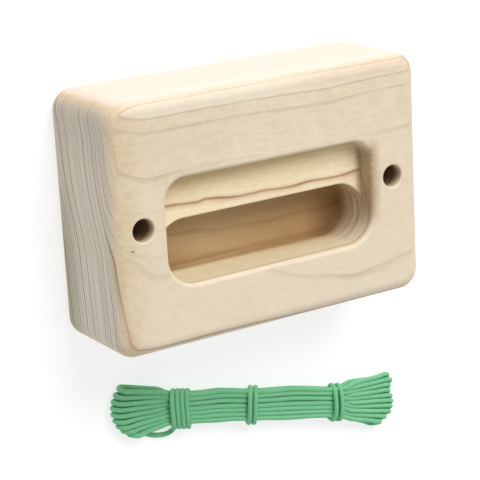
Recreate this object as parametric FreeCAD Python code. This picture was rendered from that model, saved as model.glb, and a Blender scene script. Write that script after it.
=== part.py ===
"""Wooden finger-training block with a two-step pocket and two cord holes, lying on its back,
and beside it the tied hank of thin braided cord that it is hung from.

Frame: millimetres, +Z up. The origin is the centre of the block's back face, on the floor.
+X runs along the block's length, +Y points to the side that is uppermost in use, and +Z comes
out of the pocket face. The hank lies on the same floor, past the block's lower side.
"""
import FreeCAD, Part
import math
import os

# ---- block -----------------------------------------------------------------------------------
BLOCK_LENGTH = 160.0
BLOCK_HEIGHT = 111.0
BLOCK_THICKNESS = 50.0
CORNER_RADIUS = 9.5          # the four corners, seen from the front
EDGE_ROUND = 6.0             # round-over along the front and back rims

# ---- holes for the cord ----------------------------------------------------------------------
HOLE_DIAMETER = 10.0
HOLE_END_DISTANCE = 15.0     # hole axis to the block's end
HOLE_RIM_ROUND = 1.0

# ---- pocket ----------------------------------------------------------------------------------
POCKET_END_WEB = 6.5         # wood left between a hole and the pocket's end wall
LOWER_RAIL = 27.5            # wood below the pocket
POCKET_HEIGHT = 47.0
POCKET_UPPER_CORNER = 10.0
POCKET_LOWER_CORNER = 13.0
LEDGE_DEPTH = 9.0            # first step, measured from the front face
LEDGE_WIDTH = 20.2           # height of the ledge between the upper wall and the slot
SLOT_DEPTH = 25.0            # second step, measured from the front face
SLOT_UPPER_CORNER = 14.0
SLOT_CORNER_OVERRUN = 1.0    # how far that arc would reach past the pocket's end wall
SLOT_FLOOR_ROUND = 2.0
LIP_ROUND = 2.0              # mouth of the pocket
LEDGE_EDGE_ROUND = 1.0       # edge between the ledge and the slot

# ---- cord and hank ---------------------------------------------------------------------------
CORD_DIAMETER = 2.4
HANK_X = 17.0                # middle of the hank, along the block
HANK_STANDOFF = 56.0         # middle of the hank, past the block's lower side
HANK_TURN = -13.3            # degrees, the hank's long axis from +X
END_BEND_RADIUS = 2.6        # centreline of each turn's fold at the hank's two ends
BUNDLE_WIDTH = 15.0          # the turns squeezed together inside a tie
BUNDLE_HEIGHT = 6.6
BUNDLE_SAG = 0.8             # how far the bundle drops between two ties

# Each tie: middle along the hank, its width along the hank and its sideways place.
TIES = {
    "tie_left": (-46.6, 10.6, -1.3),
    "tie_middle": (-5.9, 5.4, -0.3),
    "tie_right": (42.3, 6.4, 0.1),
}

# Outer shape of the loose turns, in the hank's own axes: place along it, low side, high side and
# how far the section is drawn in at its top and bottom.
LEFT_FAN = (
    (-82.2, -4.5, 4.5, 1.2),
    (-80.0, -8.5, 7.5, 0.0),
    (-76.0, -13.0, 9.8, 0.0),
    (-71.5, -16.0, 9.8, 0.0),
    (-62.0, -13.2, 8.9, 0.0),
)
RIGHT_FAN = (
    (54.0, -10.0, 11.8, 0.0),
    (66.0, -12.4, 15.4, 0.0),
    (73.0, -13.6, 16.0, 0.0),
    (77.0, -10.5, 12.6, 0.0),
    (81.0, -6.5, 3.0, 1.2),
)
# Outer shape midway between two ties: place along the hank, low side and high side.
LEFT_SPAN = (-25.0, -8.3, 9.1)
RIGHT_SPAN = (16.0, -9.2, 9.3)

# The free tail: how far along from the left tie's middle, how far out from the low side of the
# bundle inside that tie, and how far above a cord that lies on the floor. It leaves the tie's lower
# side, turns back on the floor and tucks in under the lowest turns.
TAIL_ROUTE = (
    (0.2, 0.4, 1.8),
    (1.2, 3.2, 0.6),
    (-0.8, 5.6, 0.0),
    (-5.8, 6.5, 0.0),
    (-12.8, 5.9, 0.0),
    (-18.8, 3.6, 0.0),
)

CLOSE = 0.01                 # two places nearer than this count as one


def vec(x, y, z=0.0):
    return FreeCAD.Vector(x, y, z)


# ---- shared shapes ---------------------------------------------------------------------------
def rounded_outline(half_length, low, high, lower_radius, upper_radius, z=0.0):
    """A closed outline, symmetric in X, with tangent arcs at its corners."""
    corners = (
        (half_length - upper_radius, high - upper_radius, upper_radius, 0),
        (-half_length + upper_radius, high - upper_radius, upper_radius, 90),
        (-half_length + lower_radius, low + lower_radius, lower_radius, 180),
        (half_length - lower_radius, low + lower_radius, lower_radius, 270),
    )
    return closed_wire([arc_points(x, y, radius, start, start + 90, z)
                        for x, y, radius, start in corners])


def arc_points(x, y, radius, start, end, z):
    """Start, middle and end of an arc about (x, y), with its angles in degrees."""
    points = []
    for angle in (start, (start + end) / 2, end):
        turn = math.radians(angle)
        points.append(vec(x + radius * math.cos(turn), y + radius * math.sin(turn), z))
    return points


def closed_wire(arcs):
    """A closed wire through arcs, each given by three points, with lines between their ends."""
    edges = []
    for index, arc in enumerate(arcs):
        following = arcs[(index + 1) % len(arcs)]
        edges.append(Part.Arc(*arc).toShape())
        if arc[2].distanceToPoint(following[0]) > CLOSE:
            edges.append(Part.LineSegment(arc[2], following[0]).toShape())
    return Part.Wire(edges)


def prism(wire, height):
    return Part.Face(wire).extrude(vec(0, 0, height))


def edges_at(shape, z, inside=None):
    """The edges that lie wholly at height z, and whose middles pass the test if one is given."""
    found = []
    for edge in shape.Edges:
        box = edge.BoundBox
        if abs(box.ZMin - z) > CLOSE or abs(box.ZMax - z) > CLOSE:
            continue
        if inside is None or inside(box.Center):
            found.append(edge)
    return found


# ---- block -----------------------------------------------------------------------------------
def wood_block():
    front = BLOCK_THICKNESS
    half_height = BLOCK_HEIGHT / 2
    outline = rounded_outline(
        BLOCK_LENGTH / 2, -half_height, half_height, CORNER_RADIUS, CORNER_RADIUS)
    block = prism(outline, front)
    block = block.makeFillet(EDGE_ROUND, edges_at(block, 0) + edges_at(block, front))
    hole_x = BLOCK_LENGTH / 2 - HOLE_END_DISTANCE
    block = cut_pocket(block, hole_x - HOLE_DIAMETER / 2 - POCKET_END_WEB)
    for side in (-1, 1):
        block = cut_hole(block, side * hole_x)
    return block


def cut_pocket(block, half_length):
    """The wide shallow step and the deeper slot, which share their lower wall and end walls."""
    front = BLOCK_THICKNESS
    low = -BLOCK_HEIGHT / 2 + LOWER_RAIL
    high = low + POCKET_HEIGHT
    slot_high = high - LEDGE_WIDTH
    ledge_z = front - LEDGE_DEPTH
    slot_z = front - SLOT_DEPTH
    hole_side = half_length + POCKET_END_WEB

    # The slot's upper arc ends at this height on the end wall, and the lower corner starts below it.
    arc_reach = SLOT_UPPER_CORNER - SLOT_CORNER_OVERRUN
    arc_foot = slot_high - SLOT_UPPER_CORNER + math.sqrt(SLOT_UPPER_CORNER ** 2 - arc_reach ** 2)
    lower_corner = min(POCKET_LOWER_CORNER, arc_foot - low)

    step = prism(
        rounded_outline(half_length, low, high, lower_corner, POCKET_UPPER_CORNER, ledge_z),
        LEDGE_DEPTH)
    slot = prism(
        slot_outline(half_length, low, slot_high, lower_corner, arc_reach, slot_z), SLOT_DEPTH)
    block = block.cut(step.fuse(slot).removeSplitter())

    def on_mouth(point):
        return abs(point.x) < hole_side and low - LIP_ROUND < point.y < high + LIP_ROUND

    def on_slot(point):
        return point.y < slot_high + CLOSE and abs(point.x) < half_length - CLOSE

    block = block.makeFillet(LIP_ROUND, edges_at(block, front, on_mouth))
    block = block.makeFillet(LEDGE_EDGE_ROUND, edges_at(block, ledge_z, on_slot))
    return block.makeFillet(SLOT_FLOOR_ROUND, edges_at(block, slot_z))


def slot_outline(half_length, low, high, lower, arc_reach, z):
    """The slot's outline: its upper corners are wider arcs that run into the pocket's end walls."""
    upper = SLOT_UPPER_CORNER
    upper_x = half_length - arc_reach
    upper_y = high - upper
    lower_x = half_length - lower
    meet = math.degrees(math.acos(arc_reach / upper))
    return closed_wire([
        arc_points(upper_x, upper_y, upper, meet, 90, z),
        arc_points(-upper_x, upper_y, upper, 90, 180 - meet, z),
        arc_points(-lower_x, low + lower, lower, 180, 270, z),
        arc_points(lower_x, low + lower, lower, 270, 360, z),
    ])


def cut_hole(block, x):
    """A through-hole for the cord, with softened rims."""
    radius = HOLE_DIAMETER / 2
    block = block.cut(Part.makeCylinder(radius, BLOCK_THICKNESS, vec(x, 0, 0)))
    rims = []
    for edge in block.Edges:
        is_circle = isinstance(edge.Curve, Part.Circle)
        if is_circle and abs(edge.Curve.Center.x - x) < CLOSE:
            rims.append(edge)
    return block.makeFillet(HOLE_RIM_ROUND, rims)


# ---- hank ------------------------------------------------------------------------------------
def place_hank(shape):
    """From the hank's own axes to its place on the floor beside the block."""
    placed = shape.copy()
    placed.rotate(vec(0, 0, 0), vec(0, 0, 1), HANK_TURN)
    placed.translate(vec(HANK_X, -BLOCK_HEIGHT / 2 - HANK_STANDOFF, 0))
    return placed


def stadium(along, low, high, bottom, top):
    """A flat-sided outline with half-round ends, standing across the hank."""
    radius = (top - bottom) / 2
    middle = (top + bottom) / 2
    low_end = [(low + radius, top), (low, middle), (low + radius, bottom)]
    high_end = [(high - radius, bottom), (high, middle), (high - radius, top)]
    return closed_wire([[vec(along, *point) for point in end] for end in (low_end, high_end)])


def tie_section(sideways, grow=0.0):
    """Low, high, bottom and top of the bundle inside a tie, grown all round."""
    half = BUNDLE_WIDTH / 2 + grow
    bottom = CORD_DIAMETER
    return (sideways - half, sideways + half, bottom - grow, bottom + BUNDLE_HEIGHT + grow)


def fan_station(along, low, high, draw_in):
    """A section of the loose turns, as high as one fold of the cord."""
    fold_height = 2 * END_BEND_RADIUS + CORD_DIAMETER
    return (along, low, high, draw_in, fold_height - draw_in)


def span_station(along, low, high):
    """A section midway between two ties, where the bundle sags."""
    bottom = CORD_DIAMETER - BUNDLE_SAG
    return (along, low, high, bottom, bottom + BUNDLE_HEIGHT)


def tie_stations(node):
    """The two ends of the straight stretch that a tie's wraps hold."""
    middle, width, sideways = TIES[node]
    section = tie_section(sideways)
    return [(middle - width / 2,) + section, (middle + width / 2,) + section]


def cord_hank():
    stations = [fan_station(*row) for row in LEFT_FAN]
    stations += tie_stations("tie_left")
    stations.append(span_station(*LEFT_SPAN))
    stations += tie_stations("tie_middle")
    stations.append(span_station(*RIGHT_SPAN))
    stations += tie_stations("tie_right")
    stations += [fan_station(*row) for row in RIGHT_FAN]
    return Part.makeLoft([stadium(*station) for station in stations], True, True)


def tie_band(middle, width, sideways):
    """The outer shape of a tie's wraps: a band one cord thick round the bundle."""
    start = middle - width / 2
    outer = Part.Face(stadium(start, *tie_section(sideways, CORD_DIAMETER)))
    inner = Part.Face(stadium(start, *tie_section(sideways)))
    return outer.extrude(vec(width, 0, 0)).cut(inner.extrude(vec(width, 0, 0)))


def cord_tail():
    tie_middle, _, tie_sideways = TIES["tie_left"]
    bundle_low = tie_section(tie_sideways)[0]
    floor_height = CORD_DIAMETER / 2
    path, length = rounded_path([vec(tie_middle + along, bundle_low - out, floor_height + up)
                                 for along, out, up in TAIL_ROUTE])
    start = path.Edges[0]
    direction = start.tangentAt(start.FirstParameter)
    centre = start.valueAt(start.FirstParameter)
    circle = Part.Wire([Part.makeCircle(CORD_DIAMETER / 2, centre, direction)])
    tail = path.makePipeShell([circle], True, False)
    section = math.pi * CORD_DIAMETER ** 2 / 4
    share = tail.Volume / (section * length)
    print(f"tail: {length:.1f} mm, volume / (section x length) = {share:.4f}")
    return tail


def rounded_path(points):
    """Straight runs joined by tangent arcs, each as large as its two runs allow."""
    edges = []
    length = 0.0
    last = points[0]
    for index in range(1, len(points) - 1):
        here = points[index]
        back = points[index - 1] - here
        ahead = points[index + 1] - here
        shorter = min(back.Length, ahead.Length)
        turn = math.pi - back.getAngle(ahead)
        reach = 0.45 * shorter
        radius = reach / math.tan(turn / 2)
        print(f"tail point {index}: turn {math.degrees(turn):.0f} deg, radius {radius:.1f} mm")
        back.normalize()
        ahead.normalize()
        start = here + back * reach
        end = here + ahead * reach
        bisector = back + ahead
        bisector.normalize()
        middle = here + bisector * (radius / math.cos(turn / 2) - radius)
        edges.append(Part.LineSegment(last, start).toShape())
        edges.append(Part.Arc(start, middle, end).toShape())
        length += last.distanceToPoint(start) + radius * turn
        last = end
    edges.append(Part.LineSegment(last, points[-1]).toShape())
    length += last.distanceToPoint(points[-1])
    return Part.Wire(edges), length


# ---- parts -----------------------------------------------------------------------------------
def main():
    parts = {"wood_block": wood_block(), "cord_hank": place_hank(cord_hank())}
    for node, tie in TIES.items():
        parts[node] = place_hank(tie_band(*tie))
    parts["cord_tail"] = place_hank(cord_tail())

    os.makedirs("parts", exist_ok=True)
    for node, shape in parts.items():
        solid = shape.Solids[0]
        print(f"{node}: {len(shape.Solids)} solid, valid {solid.isValid()}, "
              f"{solid.Volume / 1000:.2f} cm3")
        solid.exportStep(f"parts/{node}.step")


main()
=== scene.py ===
"""The looks of a wooden finger-training block and the tied hank of braided cord beside it.

Everything is in metres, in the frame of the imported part: the block lies on its back, its pocket
faces up, and the hank lies on the same floor past the block's lower side.
"""
import math
from types import SimpleNamespace

import bmesh
import bpy
from mathutils import Matrix, Vector


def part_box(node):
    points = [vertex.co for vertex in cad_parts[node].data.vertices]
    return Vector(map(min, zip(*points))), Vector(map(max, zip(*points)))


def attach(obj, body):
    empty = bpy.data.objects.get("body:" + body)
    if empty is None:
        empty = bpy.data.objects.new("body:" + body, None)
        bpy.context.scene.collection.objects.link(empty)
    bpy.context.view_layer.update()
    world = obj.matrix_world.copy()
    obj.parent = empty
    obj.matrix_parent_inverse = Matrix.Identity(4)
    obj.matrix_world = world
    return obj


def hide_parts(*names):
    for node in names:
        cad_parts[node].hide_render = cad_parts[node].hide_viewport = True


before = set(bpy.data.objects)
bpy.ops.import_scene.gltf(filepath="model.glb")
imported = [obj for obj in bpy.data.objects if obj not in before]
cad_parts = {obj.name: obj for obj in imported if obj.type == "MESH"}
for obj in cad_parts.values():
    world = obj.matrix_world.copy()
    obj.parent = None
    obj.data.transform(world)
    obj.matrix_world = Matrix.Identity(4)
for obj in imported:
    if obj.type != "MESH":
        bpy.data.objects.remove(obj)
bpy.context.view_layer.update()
bpy.ops.object.select_all(action="DESELECT")
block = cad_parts["wood_block"]
block_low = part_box("wood_block")[0]

# ---- camera ----------------------------------------------------------------------------------
CAMERA_PLACE = (-0.4105, 0.2018, 0.6761)
CAMERA_AIM = (0.5098, -0.2795, -0.8136)
CAMERA_UP = (0.1939, 0.9587, -0.2079)
CAMERA_LENS = 134.03          # millimetres, as the sensor's width is
CAMERA_SENSOR = 36.0
CAMERA_NEAREST = 0.01
CAMERA_FURTHEST = 20.0

# ---- floor and light -------------------------------------------------------------------------
FLOOR_SIZE = 6.0
FLOOR_GREY = 0.4
FLOOR_ROUGHNESS = 0.9
FLOOR_GLOW = 0.66             # lifts the grey floor to near white where no shadow lies
KEY_LIGHT_PLACE = (0.25, 1.28, 1.22)
KEY_LIGHT_AIM = (0.0, -0.03, 0.02)
KEY_LIGHT_SIZE = 1.3
KEY_LIGHT_POWER = 29
STUDIO_BRIGHTNESS = 0.58

# ---- cord ------------------------------------------------------------------------------------
CORD_DIAMETER = 0.0024
TUBE_SIDES = 12
HANK_SMOOTHNESS = 6           # points of a cord's line for each point that steers it
TIE_SMOOTHNESS = 8
CORD_END_REACH = 0.7          # how far the domed end stands out, in radii of the cord
CORD_END_WIDTH = 0.72         # the dome's ring, as a part of the cord's radius
CORD_END_RISE = 0.68          # and how far out that ring lies, as a part of the dome's reach
CARRIERS = 8                  # strands of the braid that run each way round
BRAID_STEP = CORD_DIAMETER * 0.5        # along the cord, from one strand to the next

# ---- hank, in its own axes: along, across and up ----------------------------------------------
HANK_X = 0.017
HANK_STANDOFF = 0.056         # its middle, past the block's lower side
HANK_TURN = math.radians(-13.3)
HANK_MIDDLE = Vector((HANK_X, block_low.y - HANK_STANDOFF, 0.0))
TURNS = 10
FOLD_RADIUS = 0.0026          # centreline of the folds at both ends
FOLD_PARTS = 4                # parts into which each fold's half circle is divided
FOLD_CLEARANCE = 0.004        # least distance from a straight run's points to a fold's tip
FLOOR_LAYER = CORD_DIAMETER / 2
LAYER_RISE = 0.00195          # from one layer of packed turns to the next
RUN_WAVER = 0.00010           # sideways waver of a limp cord, and how its phase moves on
WAVER_BY_TURN = 1.7
WAVER_BY_POINT = 2.3
WAVER_OF_UPPER_RUN = 2.0
FIRST_RUN_START = -0.0470     # where the cord begins, under the left tie
LAST_RUN_END = -0.0340        # where its last turn gives way to the left tie

# Ends of the loose turns, lowest turn first: the centreline's furthest point along the hank.
RIGHT_TIPS = (0.0742, 0.0768, 0.0792, 0.0796, 0.0795, 0.0784, 0.0766, 0.0763, 0.0766, 0.0742)
LEFT_TIP = -0.0806
LEFT_TIP_CURVE = 42.0         # how the left tips draw back away from the hank's axis, per metre
LEFT_TIP_AXIS = 0.0004

# Low and high side of the loose turns at each end: (low, high) at the tie and at the tips.
LEFT_FAN = ((-0.0088, 0.0070), (-0.0156, 0.0074))
RIGHT_FAN = ((-0.0078, 0.0088), (-0.0102, 0.0143))
LEFT_FAN_ALONG = (-0.0540, -0.0780)
RIGHT_FAN_ALONG = (0.0480, 0.0740)
LEFT_LOOSE_ALONG = (-0.0500, -0.0580)   # from packed turns to loose ones
RIGHT_LOOSE_ALONG = (0.0450, 0.0540)
UPPER_RUN_STAGGER = 0.0004
LEFT_SPREAD_HIGH = 0.0009     # how far the lower runs splay out at the left tips, to the
LEFT_SPREAD_LOW = 0.0010      # high side and to the low side
RIGHT_SHIFT = 0.0025          # how far they slide to the low side at the right tips
RIGHT_SHIFT_HIGH = 0.0010     # and how much further the highest one slides

# Packed turns: sideways slot, in strands from the middle, and layer, from 0 at the bottom.
TOP_SLOTS = (
    (-2.8, 2), (-1.85, 2), (-0.9, 2), (0.05, 2), (0.6, 1),
    (1.2, 2), (1.8, 1), (2.3, 2), (2.8, 1), (3.2, 2),
)
BOTTOM_SLOTS = (
    (-3.2, 0), (-2.4, 1), (-2.2, 0), (-1.4, 1), (-1.2, 0),
    (-0.4, 1), (-0.1, 0), (0.9, 0), (1.9, 0), (2.9, 0),
)

# Places along the hank where the bundle's middle, its spacing and its height are set.
BUNDLE = (
    # along, sideways, spacing, height of the lowest layer
    (-0.0520, -0.0013, 0.00216, 0.0034),
    (-0.0400, -0.0010, 0.00216, 0.0034),
    (-0.0230, -0.0002, 0.00232, 0.0027),
    (-0.0100, -0.0002, 0.00216, 0.0034),
    (-0.0020, -0.0003, 0.00216, 0.0034),
    (0.0170, 0.0001, 0.00236, 0.0027),
    (0.0385, 0.0001, 0.00216, 0.0034),
    (0.0460, 0.0001, 0.00216, 0.0034),
)
LOWEST_RUN_SPREAD = 1.0       # how far the lowest run drifts out, for each part the bundle sags

RUN_PLACES = (
    -0.0680, -0.0620, -0.0570, -0.0525, -0.0460, -0.0400, -0.0330, -0.0250, -0.0170, -0.0100,
    -0.0020, 0.0060, 0.0160, 0.0270, 0.0350, 0.0420, 0.0480, 0.0530, 0.0600, 0.0670,
)

# Wraps of the ties: where they lie on top, how far apart they are and how they slope.
WRAP_ACROSS = 0.0088
WRAP_UP = 0.0044
WRAP_FULLNESS = 0.8           # 1 is an ellipse, and less is fuller at its corners
WRAP_STEP = 30                # degrees from one point of a wrap to the next
LEFT_TIE = {"top": -0.0448, "middle": -0.0013, "pitch": 0.0026, "slant": -0.30, "lean": 0.72}
MIDDLE_TIE = {"top": -0.0068, "middle": -0.0003, "pitch": 0.0030, "slant": -0.20, "lean": 0.56}
RIGHT_TIE = {"top": 0.0448, "middle": 0.0001, "pitch": 0.0036, "slant": -0.28, "lean": 0.09}
LEFT_TIE_ANGLES = (-130, 1260)
SHORT_TIE_ANGLES = (-90, 630)

# The tucked ends of a short tie: along and across, from where its wraps begin or end.
TUCKED_END = ((0.0026, 0.0018), (0.0060, 0.0022), (0.0095, 0.0022))

# The free tail: it leaves the lower side of the left tie, turns back and tucks in underneath.
# Its first point lies just below the end of the tie's last wrap.
TAIL_ROUTE = (
    (-0.0464, -0.0092, 0.0030),
    (-0.0454, -0.0120, 0.0018),
    (-0.0474, -0.0144, 0.0012),
    (-0.0524, -0.0153, 0.0012),
    (-0.0594, -0.0147, 0.0012),
    (-0.0654, -0.0124, 0.0012),
)


def link(obj):
    bpy.context.scene.collection.objects.link(obj)
    return obj


def blend_values(start, end, share):
    return start + (end - start) * share


def ramp(value, start, end):
    """0 before start, 1 after end, and a smooth change between."""
    share = min(max((value - start) / (end - start), 0.0), 1.0)
    return share * share * (3 - 2 * share)


def make_camera():
    data = bpy.data.cameras.new("camera")
    data.sensor_width = CAMERA_SENSOR
    data.lens = CAMERA_LENS
    data.clip_start = CAMERA_NEAREST
    data.clip_end = CAMERA_FURTHEST
    camera = link(bpy.data.objects.new("camera", data))
    aim = Vector(CAMERA_AIM).normalized()
    side = aim.cross(Vector(CAMERA_UP)).normalized()
    turned = Matrix((side, side.cross(aim), -aim)).transposed()
    camera.matrix_world = Matrix.Translation(CAMERA_PLACE) @ turned.to_4x4()
    bpy.context.scene.camera = camera


# ---- the hank's shape ------------------------------------------------------------------------
def hank_point(along, across, up):
    """From the hank's own axes to its place on the floor beside the block."""
    return Matrix.Rotation(HANK_TURN, 3, "Z") @ Vector((along, across, up)) + HANK_MIDDLE


def bundle_at(along):
    """Sideways middle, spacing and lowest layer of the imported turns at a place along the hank."""
    along = min(max(along, BUNDLE[0][0]), BUNDLE[-1][0])
    for (start, *low), (end, *high) in zip(BUNDLE, BUNDLE[1:]):
        if along <= end:
            share = ramp(along, start, end)
            return [blend_values(a, b, share) for a, b in zip(low, high)]


def packed_place(turn, upper, along):
    """Across and up of a turn's upper or lower run where the bundle is packed."""
    sideways, spacing, lowest = bundle_at(along)
    slot, layer = (TOP_SLOTS if upper else BOTTOM_SLOTS)[turn]
    across = sideways + slot * spacing
    if turn == 0 and not upper:
        across -= (BUNDLE[0][3] - lowest) * LOWEST_RUN_SPREAD
    return across, lowest + layer * LAYER_RISE


def fan_place(turn, upper, along):
    """Across and up of a loose turn's run in one of the two fans."""
    left = along < 0
    (tie_low, tie_high), (tip_low, tip_high) = LEFT_FAN if left else RIGHT_FAN
    start, end = LEFT_FAN_ALONG if left else RIGHT_FAN_ALONG
    share = min(max((along - start) / (end - start), 0.0), 1.0)
    if left:
        rank = (turn if upper else turn - 1) / (TURNS - 2)
    else:
        rank = turn / (TURNS - 1)
    low = blend_values(tie_low, tip_low, share)
    high = blend_values(tie_high, tip_high, share)
    across = blend_values(low, high, rank)
    if upper:
        stagger = UPPER_RUN_STAGGER * (1 - share) * (-1) ** turn
        return across, FLOOR_LAYER + 2 * FOLD_RADIUS + stagger
    if left:
        shift = LEFT_SPREAD_HIGH * rank ** 8 - LEFT_SPREAD_LOW * (1 - rank) ** 2
    else:
        shift = -RIGHT_SHIFT - RIGHT_SHIFT_HIGH * rank
    return across + shift * share, FLOOR_LAYER


def turn_place(turn, upper, along):
    """Across and up of one turn's upper or lower run, at any place along the hank."""
    packed = packed_place(turn, upper, along)
    loose = ramp(along, *(LEFT_LOOSE_ALONG if along < 0 else RIGHT_LOOSE_ALONG))
    if not loose:
        return packed
    fan = fan_place(turn, upper, along)
    return [blend_values(a, b, loose) for a, b in zip(packed, fan)]


def left_tip(turn):
    across = fan_place(turn, True, LEFT_FAN_ALONG[1])[0]
    return LEFT_TIP + LEFT_TIP_CURVE * (across - LEFT_TIP_AXIS) ** 2


def run_points(turn, upper, low, high):
    """One run of a turn, from left to right, with the small waver of a limp cord."""
    points = []
    for index, along in enumerate(RUN_PLACES):
        if low < along < high:
            across, up = turn_place(turn, upper, along)
            phase = WAVER_BY_TURN * turn + WAVER_BY_POINT * index
            across += RUN_WAVER * math.sin(phase + (WAVER_OF_UPPER_RUN if upper else 0.0))
            points.append((along, across, up))
    return points


def fold_points(tip, side, start, end):
    """The fold at the end of a turn, from (across, up) start to end. side is 1 at the right."""
    half_part = math.pi / (2 * FOLD_PARTS)
    reach = FOLD_RADIUS / math.cos(half_part)
    middle = [(a + b) / 2 for a, b in zip(start, end)]
    points = []
    for step in range(-1, FOLD_PARTS + 1):
        angle = half_part * (2 * step + 1)
        lean = math.cos(angle) / math.cos(half_part)
        across = middle[0] + (start[0] - middle[0]) * lean
        up = middle[1] + (start[1] - middle[1]) * lean
        along = tip - side * FOLD_RADIUS + side * reach * math.sin(angle)
        points.append((along, across, up))
    return points


def wrap_points(tie, start_angle, end_angle):
    """Wraps of cord round the bundle, over its top from the high side to the low side."""
    points = []
    steps = round((end_angle - start_angle) / WRAP_STEP)
    for step in range(steps + 1):
        degrees = start_angle + (end_angle - start_angle) * step / steps
        cosine = math.cos(math.radians(degrees))
        sine = math.sin(math.radians(degrees))
        across = WRAP_ACROSS * math.copysign(abs(cosine) ** WRAP_FULLNESS, cosine)
        up = WRAP_UP * math.copysign(abs(sine) ** WRAP_FULLNESS, sine)
        along = (tie["top"] - tie["pitch"] * (degrees - 90) / 360
                 + tie["slant"] * across + tie["lean"] * (WRAP_UP - up))
        points.append((along, tie["middle"] + across, FLOOR_LAYER + WRAP_UP + up))
    return points


def cord_route():
    """The whole cord. It starts out of sight under the left tie, makes ten turns from the high
    side to the low side, and then wraps the left tie and ends in the free tail."""
    points = []
    for turn in reversed(range(TURNS)):
        tip = RIGHT_TIPS[turn]
        inner_end = FIRST_RUN_START if turn == TURNS - 1 else left_tip(turn) + FOLD_CLEARANCE
        points += run_points(turn, True, inner_end, tip - FOLD_CLEARANCE)
        points += fold_points(tip, 1, turn_place(turn, True, tip), turn_place(turn, False, tip))
        inner_end = LAST_RUN_END if turn == 0 else left_tip(turn - 1) + FOLD_CLEARANCE
        points += reversed(run_points(turn, False, inner_end, tip - FOLD_CLEARANCE))
        if turn:
            tip = left_tip(turn - 1)
            start, end = turn_place(turn, False, tip), turn_place(turn - 1, True, tip)
            points += fold_points(tip, -1, start, end)
    points += wrap_points(LEFT_TIE, *LEFT_TIE_ANGLES)
    points += TAIL_ROUTE[1:]            # the end of the last wrap stands in for its first point
    return [hank_point(*point) for point in points]


def short_tie_route(tie):
    """A short length of cord: one end tucked underneath, two wraps, and the other end tucked."""
    wraps = wrap_points(tie, *SHORT_TIE_ANGLES)
    first, last = wraps[0], wraps[-1]
    ahead = [(first[0] + step, first[1] - shift, FLOOR_LAYER)
             for step, shift in reversed(TUCKED_END)]
    behind = [(last[0] - step, last[1] + shift, FLOOR_LAYER) for step, shift in TUCKED_END]
    return [hank_point(*point) for point in ahead + wraps + behind]


# ---- cord pieces -----------------------------------------------------------------------------
def smooth_line(name, route, smoothness):
    """Points along the smooth line that the route's points steer."""
    data = bpy.data.curves.new(name, "CURVE")
    data.dimensions = "3D"
    data.resolution_u = smoothness
    spline = data.splines.new("NURBS")
    spline.points.add(len(route) - 1)
    for point, place in zip(spline.points, route):
        point.co = (*place, 1.0)
    spline.order_u = 3
    spline.use_endpoint_u = True
    curve = bpy.data.objects.new(name, data)
    line = bpy.data.meshes.new_from_object(link(curve))
    points = [vertex.co.copy() for vertex in line.vertices]
    bpy.data.objects.remove(curve)
    bpy.data.meshes.remove(line)
    return points


def cord_tube(name, points, radius):
    """A closed tube along the points, with its own map: once round, and its length in metres."""
    mesh = bmesh.new()
    uv_layer = mesh.loops.layers.uv.new("cord_map")
    tangents = []
    for index in range(len(points)):
        before = points[max(index - 1, 0)]
        after = points[min(index + 1, len(points) - 1)]
        tangents.append((after - before).normalized())
    side = tangents[0].orthogonal().normalized()
    rings = []
    travelled = 0.0
    for index, (point, tangent) in enumerate(zip(points, tangents)):
        if index:
            travelled += (point - points[index - 1]).length
            side = (side - tangent * side.dot(tangent)).normalized()
        other = tangent.cross(side)
        ring = []
        for step in range(TUBE_SIDES):
            angle = math.tau * step / TUBE_SIDES
            outward = side * math.cos(angle) + other * math.sin(angle)
            ring.append(mesh.verts.new(point + radius * outward))
        rings.append((ring, travelled))
    for (ring, at), (following, further) in zip(rings, rings[1:]):
        for step in range(TUBE_SIDES):
            ahead = (step + 1) % TUBE_SIDES
            face = mesh.faces.new((ring[step], ring[ahead], following[ahead], following[step]))
            face.smooth = True
            low, high = step / TUBE_SIDES, (step + 1) / TUBE_SIDES
            corners = ((low, at), (high, at), (high, further), (low, further))
            for loop, corner in zip(face.loops, corners):
                loop[uv_layer].uv = corner
    reach = radius * CORD_END_REACH
    close_end(mesh, rings[0][0], points[0] - tangents[0] * reach, True)
    close_end(mesh, rings[-1][0], points[-1] + tangents[-1] * reach, False)
    data = bpy.data.meshes.new(name)
    mesh.to_mesh(data)
    mesh.free()
    return link(bpy.data.objects.new(name, data))


def close_end(mesh, ring, pole_place, at_start):
    """A domed end, as where the cut cord was melted."""
    middle = sum((vert.co for vert in ring), Vector()) / len(ring)
    rise = (pole_place - middle) * CORD_END_RISE
    dome = [mesh.verts.new(middle + (vert.co - middle) * CORD_END_WIDTH + rise) for vert in ring]
    pole = mesh.verts.new(pole_place)
    for step in range(len(ring)):
        ahead = (step + 1) % len(ring)
        corners = (
            (ring[step], ring[ahead], dome[ahead], dome[step]),
            (dome[step], dome[ahead], pole),
        )
        for places in corners:
            face = mesh.faces.new(tuple(reversed(places)) if at_start else places)
            face.smooth = True


def make_cord(name, route, nodes, smoothness):
    """One cord of the hank, in place of its CAD nodes."""
    points = smooth_line(name, route, smoothness)
    piece = cord_tube(name, points, CORD_DIAMETER / 2)
    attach(piece, "hank")
    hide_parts(*nodes)
    return piece


# ---- stage -----------------------------------------------------------------------------------
def make_stage():
    bpy.ops.mesh.primitive_plane_add(size=FLOOR_SIZE)
    floor = bpy.context.object
    floor.name = "floor"
    paint = bpy.data.materials.new("floor_paint")
    paint.use_nodes = True
    surface = paint.node_tree.nodes["Principled BSDF"]
    surface.inputs["Base Color"].default_value = (FLOOR_GREY, FLOOR_GREY, FLOOR_GREY, 1)
    surface.inputs["Roughness"].default_value = FLOOR_ROUGHNESS
    surface.inputs["Emission Color"].default_value = (1, 1, 1, 1)
    surface.inputs["Emission Strength"].default_value = FLOOR_GLOW
    floor.data.materials.append(paint)


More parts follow.
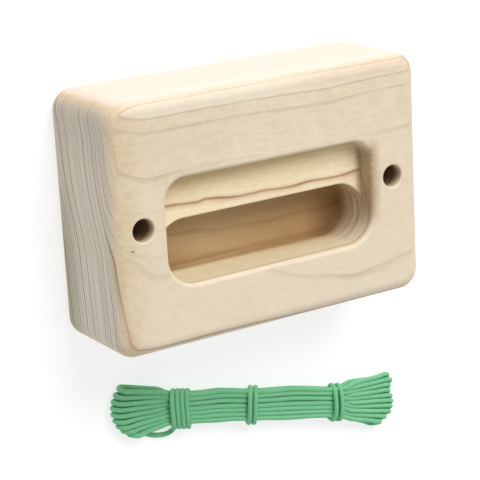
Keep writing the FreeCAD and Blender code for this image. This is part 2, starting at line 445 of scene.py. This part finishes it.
def make_lights():
    data = bpy.data.lights.new("key", "AREA")
    data.shape = "DISK"
    data.size = KEY_LIGHT_SIZE
    data.energy = KEY_LIGHT_POWER
    lamp = link(bpy.data.objects.new("key", data))
    lamp.location = KEY_LIGHT_PLACE
    aim = Vector(KEY_LIGHT_AIM) - Vector(KEY_LIGHT_PLACE)
    lamp.rotation_euler = aim.to_track_quat("-Z", "Y").to_euler()
    world = bpy.data.worlds.new("studio")
    bpy.context.scene.world = world
    world.use_nodes = True
    background = world.node_tree.nodes["Background"]
    background.inputs["Color"].default_value = (1, 1, 1, 1)
    background.inputs["Strength"].default_value = STUDIO_BRIGHTNESS
    bpy.context.scene.view_settings.view_transform = "Standard"


# ---- materials -------------------------------------------------------------------------------
WOOD_ROUGHNESS = 0.62
WOOD_RELIEF = 0.08
CORD_ROUGHNESS = 0.75
CORD_RELIEF = 0.5
RELIEF_DEPTH = 0.0002


class Field:
    """A value that changes over a surface, with the usual arithmetic."""

    def __init__(self, tree, socket):
        self.tree = tree
        self.socket = socket

    def node(self, kind, inputs, output=0, **settings):
        """A new shader node in this field's material; inputs are set or linked by place."""
        made = self.tree.nodes.new("ShaderNode" + kind)
        for name, value in settings.items():
            setattr(made, name, value)
        for place, value in inputs.items():
            if isinstance(value, Field):
                self.tree.links.new(value.socket, made.inputs[place])
            else:
                made.inputs[place].default_value = value
        return Field(self.tree, made.outputs[output])

    def math(self, operation, *values):
        return self.node("Math", dict(enumerate(values)), operation=operation)

    def __add__(self, other):
        return self.math("ADD", self, other)

    def __sub__(self, other):
        return self.math("SUBTRACT", self, other)

    def __rsub__(self, other):
        return self.math("SUBTRACT", other, self)

    def __mul__(self, other):
        return self.math("MULTIPLY", self, other)

    def __truediv__(self, other):
        return self.math("DIVIDE", self, other)

    __radd__ = __add__
    __rmul__ = __mul__

    def step(self, start, end, low=0.0, high=1.0):
        """low before start, high after end, smooth between; start may be above end."""
        if start > end:
            start, end, low, high = end, start, high, low
        return self.node("MapRange", {0: self, 1: start, 2: end, 3: low, 4: high},
                         interpolation_type="SMOOTHSTEP")

    def mix(self, first, second):
        """From the first colour to the second as this field goes from 0 to 1."""
        return self.node("Mix", {0: self, 6: first, 7: second}, output=2, data_type="RGBA")

    def tint(self, base, red, green, blue):
        """The base colour multiplied by the given one, as far as this field goes from 0 to 1."""
        return self.node("Mix", {0: self, 6: base, 7: (red, green, blue, 1.0)}, output=2,
                         data_type="RGBA", blend_type="MULTIPLY")

    def noise(self, vector, detail=2.0, roughness=0.5):
        """Noise about 0, from -1 to 1, with cells of about 1 in the vector's own units."""
        made = self.node("TexNoise", {"Vector": vector, "Scale": 1.0, "Detail": detail,
                                      "Roughness": roughness})
        return made * 2 - 1

    def vector(self, x, y, z):
        return self.node("CombineXYZ", {0: x, 1: y, 2: z})


def color(red, green, blue):
    """A shader colour from screen values of 0 to 255."""
    return tuple(((value / 255 + 0.055) / 1.055) ** 2.4 for value in (red, green, blue)) + (1.0,)


def new_material(name, roughness):
    paint = bpy.data.materials.new(name)
    paint.use_nodes = True
    tree = paint.node_tree
    surface = tree.nodes["Principled BSDF"]
    surface.inputs["Roughness"].default_value = roughness
    return paint, tree, surface


def add_bump(surface, height, strength):
    bump = height.node("Bump", {"Height": height, "Strength": strength, "Distance": RELIEF_DEPTH})
    height.tree.links.new(bump.socket, surface.inputs["Normal"])


def paint_over(base, marks):
    """The base colour with each mark's colour over it, as far as the mark's field goes to 1."""
    for amount, paint in marks:
        base = amount.mix(base, paint)
    return base


def tint_over(base, tints):
    """The base colour multiplied by each tint, as far as the tint's field goes to 1."""
    for amount, shade in tints:
        base = amount.tint(base, *shade)
    return base


# ---- wood ------------------------------------------------------------------------------------
# The wood is worked out in millimetres: x and y from the block's middle, z up from its back.
POCKET_ENDS = (55.0, 53.0)    # from the wood round the pocket to inside its walls
POCKET_LOWER = (-29.5, -28.0)
POCKET_UPPER = (20.5, 19.0)
LOWER_WALL = (-26.5, -28.0)   # from inside the pocket to its lower wall
HOLE_X = 65.0
HOLE_EDGE = (34.0, 24.0)      # squared distances from a hole's middle, in the wood and at its wall
SPECK_X = -70.8
SPECK_Y = -7.8
END_ROUNDING = (76.6, 80.0)   # from the face's wood to full end grain
UPPER_ROUNDING = (53.0, 55.5) # the upper side is lighter past it

# Noise, by how many of its cells a millimetre takes along, across and through the grain.
RIPPLE = (0.055, 0.07, 0.03)
FADE = (0.03, 0.05, 0.05)
FIBRE = (0.10, 1.6, 1.6)
FLECK = (0.35, 2.6, 2.6)
CLOUD = (0.008, 0.03, 0.04)
MOTTLE = (0.28, 0.45, 0.45)
PORES = (0.4, 1.3, 3.2)

# Growth lines: level, how far before it the dark begins, and how far past it the dark ends.
LEDGE_LINE = (47.0, 0.4, 0.12)
LEDGE_LINE_HALO = (47.0, 1.3, 0.5)
LEDGE_LINE_WARMTH = (47.0, 3.2, 1.4)
LOWER_LEFT_ARC = (49.5, 0.3, 0.08)
LOWER_RIGHT_ARC = (49.3, 0.22, 0.07)
LEFT_LINE = (59.0, 0.4, 0.07)
UPPER_LINE = (60.65, 0.3, 0.08)
LENS_LINE = (62.1, 0.25, 0.07)
LENS_WOOD = (61.9, 62.4)      # levels between which the wood grows paler
SLOT_FLOOR_LINE = (25.6, 0.5, 0.15)

# The rings in between are numbered from the back, and stand ever closer towards the front.
RING_CLOSING = 0.01208
RING_COUNT = -10.34
RING_START = 0.32

FACE_PALE = color(220, 206, 182)
FACE_TAN = color(206, 189, 162)
LINE_BROWN = color(140, 100, 66)
FLECK_BROWN = color(160, 128, 92)
STAIN_BROWN = color(188, 150, 110)
LEFT_ROUNDING_SHADE_TAN = color(192, 164, 120)
LENS_PALE = color(232, 224, 208)
RIGHT_LIP_SHADE_BROWN = color(156, 126, 82)
SPECK_BROWN = color(92, 74, 56)
UPPER_SIDE_PAINTED_LIGHT = color(234, 215, 204)
END_PALE = color(222, 213, 198)
END_GREY = color(184, 172, 154)
END_STREAK_GREEN = color(156, 152, 120)
END_LINE_GREY = color(112, 92, 78)
END_WARM = color(190, 158, 124)
END_RING_BROWN = color(132, 94, 62)

# Tints, which multiply the colour of the wood. All but the lower wall's are painted light and
# shade; the slot floor's also makes its routed wood browner.
END_UPPER_SHADE = (0.72, 0.68, 0.66)
LEDGE_PAINTED_LIGHT = (1.18, 1.15, 1.02)
LEDGE_UPPER_SHADOW = (0.85, 0.79, 0.61)
LOWER_WALL_TINT = (1.01, 1.01, 0.90)
SLOT_FLOOR_SHADE_AND_TONE = (0.665, 0.525, 0.35)
SLOT_FOOT_SHADE = (0.74, 0.68, 0.58)
SLOT_DEEP_SHADE = (0.80, 0.70, 0.54)
SLOT_RIGHT_CORNER_SHADE = (0.62, 0.54, 0.46)
SLOT_LEFT_CORNER_SHADE = (0.78, 0.68, 0.54)
HOLE_SHADE = (0.34, 0.22, 0.14)


def wood_noise(wood, per_millimetre, detail=2.0, roughness=0.5):
    """Noise about 0, from -1 to 1, drawn out along the grain."""
    along, across, through = per_millimetre
    place = wood.x.vector(wood.x * along, wood.y * across, wood.z * through)
    return place.noise(place, detail, roughness)


def wood_place(tree):
    """Places in the block, and the level of growth there: its rings are levels of age."""
    place = Field(tree, tree.nodes.new("ShaderNodeTexCoord").outputs["Object"])
    x, y, z = [place.node("SeparateXYZ", {0: place}, output=axis) * 1000 for axis in range(3)]
    wood = SimpleNamespace(x=x, y=y, z=z)
    wood.waver = x.noise(x.vector(x * 0.012 + 3.1, y * 0.02, z * 0.02), 1.0) * 0.55

    # Rings are nearly level with the front and climb towards the lower side. Along the block
    # the climb comes at a place that follows a low arch with two dips in it.
    off_middle = (x - 15) * (x - 15) + 36
    right_dip = x.step(-22, 6) * x.step(46, 22) * 2.2
    left_dip = x.step(-34, -28) * x.step(-8, -24) * 1.0
    shifted = y - off_middle.math("SQRT", off_middle) * 0.09 + 0.54 - right_dip - left_dip
    wood.climb = (shifted.step(-55, -15) * 2.2 + shifted.step(-22, 10) * 7.4
                  + y.step(8, 34) * 2.6 + y.step(36, 54) * 3.2 - 2.2)
    tilt = x.step(-20, 40) * y.step(-15, -35) * 1.2 - x.step(-60, -80) * 0.9
    wood.age = z + wood.climb + tilt + wood.waver + wood_noise(wood, RIPPLE) * 0.14

    wood.inside = (x.math("ABSOLUTE", x).step(*POCKET_ENDS)
                   * y.step(*POCKET_LOWER) * y.step(*POCKET_UPPER))
    wood.lower_wall = wood.inside * y.step(*LOWER_WALL)
    return wood


def ring(wood, level, soft, sharp):
    """1 on one growth ring's dark edge, fading slowly before it and quickly after it."""
    return wood.age.step(level - soft, level) * wood.age.step(level + sharp, level)


def add_growth_rings(wood):
    """The rings between the named lines, each with a strength of its own."""
    count = wood.x.math("LOGARITHM", 1 - wood.age * RING_CLOSING, math.e) * RING_COUNT + RING_START
    part = count.math("FRACT", count)
    chance = count.node("TexWhiteNoise", {"W": count.math("FLOOR", count)}, noise_dimensions="1D")
    strength = chance * 0.8 + 0.2
    wood.thin = part.step(0.80, 0.97) * part.step(1.0, 0.975) * strength
    wood.broad = part.step(0.2, 0.97) * part.step(1.0, 0.975) * strength
    close_part = count.math("FRACT", count * 3 + wood.waver * 0.4)
    wood.close = close_part.step(0.55, 0.9) * close_part.step(1.0, 0.92)


def growth_lines(wood):
    """How dark the growth lines are on the long-grain sides and in the pocket."""
    x, z = wood.x, wood.z
    fade = wood_noise(wood, FADE).step(-0.5, 0.6, 0.35, 1.0)
    slot_end = wood.inside * x.step(41, 46) * z.step(41.2, 40.6) * z.step(26, 28)
    faint = (wood.thin * ((wood.inside - wood.lower_wall) * 0.25 + 0.14) + wood.broad * 0.04
             + slot_end * (wood.close + wood.broad) * 0.8)
    left_line_strength = x.step(-20, -50) * 0.4 + x.step(30, 60) * 0.15 + 0.12
    named = (ring(wood, *LOWER_LEFT_ARC) * x.step(-42, -56) * 0.22
             + ring(wood, *LOWER_RIGHT_ARC) * x.step(-15, 5) * 0.40
             + ring(wood, *LEFT_LINE) * left_line_strength
             + ring(wood, *UPPER_LINE) * 0.27
             + ring(wood, *LENS_LINE) * 0.60
             + ring(wood, *SLOT_FLOOR_LINE) * 0.55)
    strongest = ring(wood, *LEDGE_LINE) * 0.7 + ring(wood, *LEDGE_LINE_HALO) * 0.4
    return (faint + named) * fade + strongest * (fade * 0.4 + 0.6)


def face_color(wood):
    """The long-grain sides and the pocket: pale, with fibres, clouds, growth lines and marks, and
    painted shade on the left rounding and on the pocket's right wall and lip.
    """
    x, y, z = wood.x, wood.y, wood.z
    mottle = wood_noise(wood, MOTTLE, 3.0, 0.6)
    shimmer = x.noise(x.vector(x * 0.16 + y * 0.05, y * 0.035, z * 0.05), 2.0)
    figure = x.noise(x.vector(x * 0.06, y * 0.60 + wood.climb, z * 0.60), 3.0, 0.6)
    tone = (wood_noise(wood, CLOUD) * 0.32 + wood.fibre * 0.40 + shimmer * 0.20 + figure * 0.34
            + mottle * 0.40 + y * 0.004 + 0.36)

    fleck = wood_noise(wood, FLECK).step(0.28, 0.55)
    stain = x.step(-5, 50) * y.step(46.0, 49.5) * y.step(55.5, 52) * (wood.fibre * 0.9 + 0.6)
    # Painted shade on the left rounding, where the face turns towards the end and away from the
    # light.
    left_rounding_shade = x.step(-60, -77) * (mottle * 0.6 + 0.75)
    # Painted shade on the pocket's right wall and the rounded lip beside it, which face away from
    # the light.
    beside_pocket = x.step(49.8, 53.6) * x.step(59.5, 53.8) * y.step(-26, -8) * y.step(21.5, 13)
    right_lip_shade = beside_pocket * z.step(37, 42) * (mottle * 0.4 + 0.9)
    # A small dark speck lies below and to the left of the left hole.
    speck_along = (x - SPECK_X) * 0.8
    speck_across = (y - SPECK_Y - (x - SPECK_X) * 0.10) * 2.0
    speck_reach = speck_along * speck_along + speck_across * speck_across
    speck = speck_reach.step(0.9, 0.2) * z.step(45, 49)
    return paint_over(tone.step(0.0, 1.0).mix(FACE_PALE, FACE_TAN), (
        (growth_lines(wood) * 0.8, LINE_BROWN),
        (fleck * 0.30, FLECK_BROWN),
        (stain * 0.8, STAIN_BROWN),
        (left_rounding_shade * 0.55, LEFT_ROUNDING_SHADE_TAN),
        (wood.age.step(*LENS_WOOD) * 0.35, LENS_PALE),
        (right_lip_shade * 0.72, RIGHT_LIP_SHADE_BROWN),
        (speck * 0.75, SPECK_BROWN),
    ))


def end_color(wood):
    """End grain: greyer, with its rings as fine lines, a greenish streak low on it and painted
    shade towards its upper side.
    """
    x, y, z, pores = wood.x, wood.y, wood.z, wood.pores
    band = x.noise(x.vector(0.0, y * 0.015, z * 0.42 + wood.climb * 0.42), 2.0)
    tone = (pores * 0.4 + band * 0.5 + 0.45).step(0.0, 1.0)
    streak = (z + pores * 5 + band * 4).step(22, 6) * y.step(35, -15)
    end = (streak * 0.75).mix(tone.mix(END_PALE, END_GREY), END_STREAK_GREEN)
    # Painted shade, darker towards the end's upper side.
    end = (y.step(15, 50) * 0.5).tint(end, *END_UPPER_SHADE)
    fine_lines = (wood.thin * 0.75 + wood.close * 0.50 + wood.broad * 0.1) * (pores * 0.7 + 0.85)
    return paint_over(end, (
        (fine_lines, END_LINE_GREY),
        (ring(wood, *LEDGE_LINE_WARMTH) * y.step(10, -25) * 0.45, END_WARM),
        (ring(wood, *LEDGE_LINE_HALO) * y.step(30, -20, 0.35, 0.75), END_RING_BROWN),
    ))


def pocket_shade_and_color(wood, base):
    """The ledge painted lighter and a little yellower, painted shade under its upper rim, in the
    slot and in the holes, and the slot's routed floor browner.
    """
    x, y, z, inside = wood.x, wood.y, wood.z, wood.inside
    ledge = inside * z.step(50, 44) * z.step(40, 40.8) * y.step(-24, -18)
    slot_floor = inside * z.step(28, 25.3)
    off_hole = x.math("ABSOLUTE", x) - HOLE_X
    # The holes get painted shade, darker further down in them.
    hole = (off_hole * off_hole + y * y).step(*HOLE_EDGE) * z.step(49.5, 44)
    return tint_over(base, (
        # Painted light on the ledge, which the upper wall shades: lighter and a little yellower.
        (ledge * x.step(53.2, 49.4), LEDGE_PAINTED_LIGHT),
        # Painted shadow of the upper rim on the ledge's upper part, stronger towards the left.
        (ledge * y.step(5, 18.5) * x.step(55, -30, 0.45, 1.0), LEDGE_UPPER_SHADOW),
        # Painted shade on the slot's floor and the foot of its walls, together with the routed
        # wood's browner tone.
        (inside * z.step(29, 25.2), SLOT_FLOOR_SHADE_AND_TONE),
        (wood.lower_wall * z.step(50, 47), LOWER_WALL_TINT),
        # Painted shade along the slot's floor where it meets the lower wall.
        (inside * z.step(31, 26) * y.step(-23.5, -27), SLOT_FOOT_SHADE),
        # Painted shade deep in the slot, more towards the right and towards its lower wall.
        (inside * z.step(38, 27) * x.step(-30, 48) * y.step(14, -12), SLOT_DEEP_SHADE),
        # Painted shade at the right end of the slot's floor, towards the lower wall.
        (slot_floor * x.step(30, 47) * y.step(-2, -16), SLOT_RIGHT_CORNER_SHADE),
        # Painted shade in the lower left corner of the slot's floor.
        (slot_floor * x.step(-20, -48) * y.step(-12, -26), SLOT_LEFT_CORNER_SHADE),
        # Painted shade in the holes.
        (hole, HOLE_SHADE),
    ))


def wood_material():
    """Flat-sawn pale hardwood that runs through the whole solid."""
    paint, tree, surface = new_material("pale_hardwood", WOOD_ROUGHNESS)
    wood = wood_place(tree)
    add_growth_rings(wood)
    wood.fibre = wood_noise(wood, FIBRE, 4.0, 0.6)
    wood.pores = wood_noise(wood, PORES, 3.0, 0.6)
    to_end = wood.x.math("ABSOLUTE", wood.x).step(*END_ROUNDING)
    base = pocket_shade_and_color(wood, to_end.mix(face_color(wood), end_color(wood)))
    # Painted light: the upper side, which faces the lamp, is painted paler.
    base = (wood.y.step(*UPPER_ROUNDING) * 0.6).mix(base, UPPER_SIDE_PAINTED_LIGHT)
    tree.links.new(base.socket, surface.inputs["Base Color"])
    add_bump(surface, wood.fibre * 0.5 + wood.pores * 0.3, WOOD_RELIEF)
    return paint


# ---- braid -----------------------------------------------------------------------------------
CORD_GROOVE_SHADE = color(44, 110, 66)
CORD_LIGHT = color(130, 210, 158)


def cord_material():
    """Green braided cord: strands that cross over and under each other in both directions, with
    painted shade in the grooves between them.
    """
    paint, tree, surface = new_material("braided_cord", CORD_ROUGHNESS)
    cord_map = Field(tree, tree.nodes.new("ShaderNodeUVMap").outputs["UV"])
    around = cord_map.node("SeparateXYZ", {0: cord_map}, output=0) * CARRIERS
    along = cord_map.node("SeparateXYZ", {0: cord_map}, output=1) / BRAID_STEP
    one_way, other_way = around + along, around - along
    over = (one_way.math("FLOOR", one_way) + other_way.math("FLOOR", other_way)) * 0.5
    over = over.math("FRACT", over) * 2

    def strand(turned):
        wave = turned.math("SINE", turned * math.pi)
        return wave.math("ABSOLUTE", wave)

    height = strand(one_way) * (1 - over) + strand(other_way) * over
    # Painted shade: darker in the grooves between the strands, lighter on their crowns.
    base = height.step(0.0, 0.75).mix(CORD_GROOVE_SHADE, CORD_LIGHT)
    tree.links.new(base.socket, surface.inputs["Base Color"])
    add_bump(surface, height, CORD_RELIEF)
    return paint


# ---- the whole scene -------------------------------------------------------------------------
make_camera()
cords = [
    make_cord("hank_cord", cord_route(), ("cord_hank", "cord_tail", "tie_left"),
              HANK_SMOOTHNESS),
    make_cord("middle_tie_cord", short_tie_route(MIDDLE_TIE), ("tie_middle",),
              TIE_SMOOTHNESS),
    make_cord("right_tie_cord", short_tie_route(RIGHT_TIE), ("tie_right",),
              TIE_SMOOTHNESS),
]
cord_paint = cord_material()
for cord in cords:
    cord.data.materials.append(cord_paint)
block.data.materials.clear()
block.data.materials.append(wood_material())
make_stage()
make_lights()
